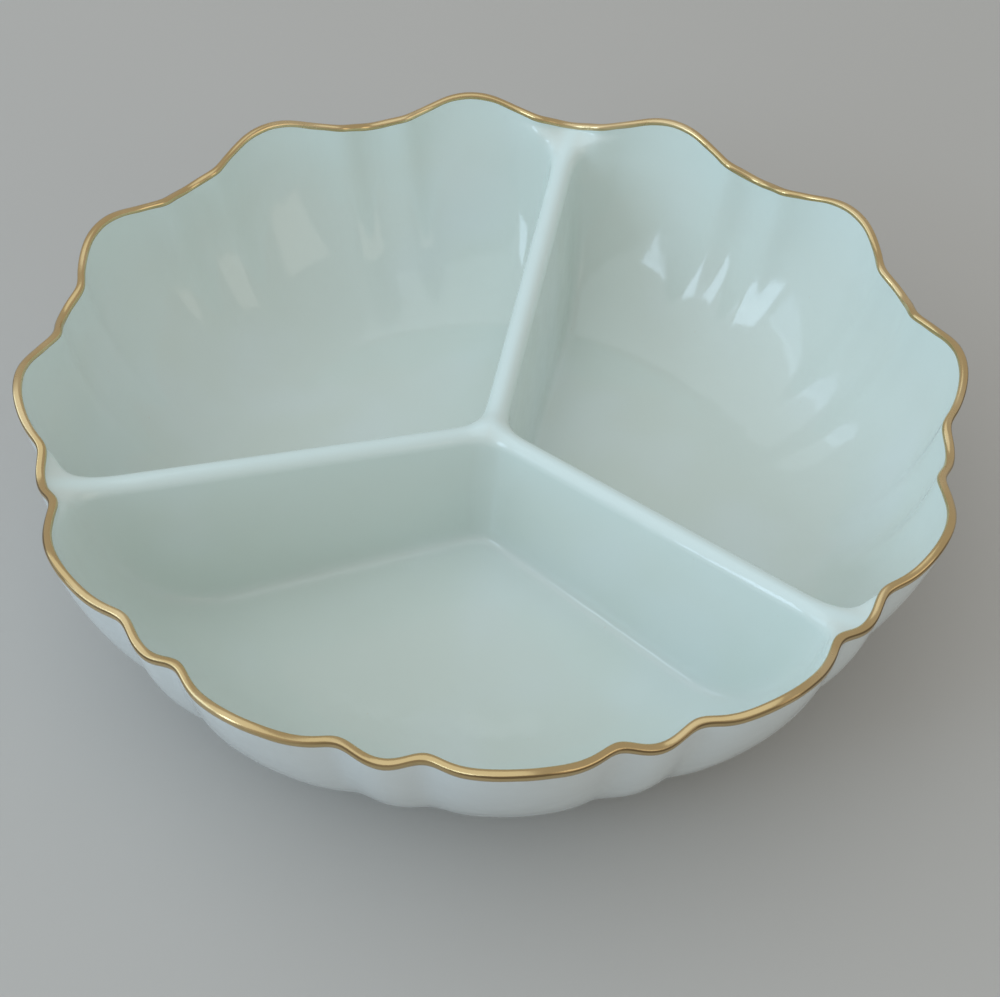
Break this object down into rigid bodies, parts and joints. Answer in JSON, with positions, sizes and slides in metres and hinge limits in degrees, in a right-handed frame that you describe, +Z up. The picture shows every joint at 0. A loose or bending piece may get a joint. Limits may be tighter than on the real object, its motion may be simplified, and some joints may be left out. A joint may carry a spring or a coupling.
{
  "type": "divided serving bowl",
  "caption": "Round china serving bowl with a fluted wall, a scalloped gilt rim, partitions that meet in the middle and a foot ring.",
  "frame": {"origin": "centre of the foot ring's rest face, on the bowl's axis, at the level of the table", "axes": "+Z up along the bowl's axis, +Y along the back partition, +X to the right seen from the front compartment"},
  "size_m": [0.2402, 0.2386, 0.064],
  "materials": {
    "glazed_china": "glossy clear glaze on pale ivory china",
    "gilding": "bright fired gold, slightly worn"
  },
  "bodies": {
    "root": {"bowl_shell": "glazed_china", "back_divider": "glazed_china", "left_divider": "glazed_china", "right_divider": "glazed_china", "foot_ring": "glazed_china", "gilt_rim": "gilding"}
  },
  "joints": []
}
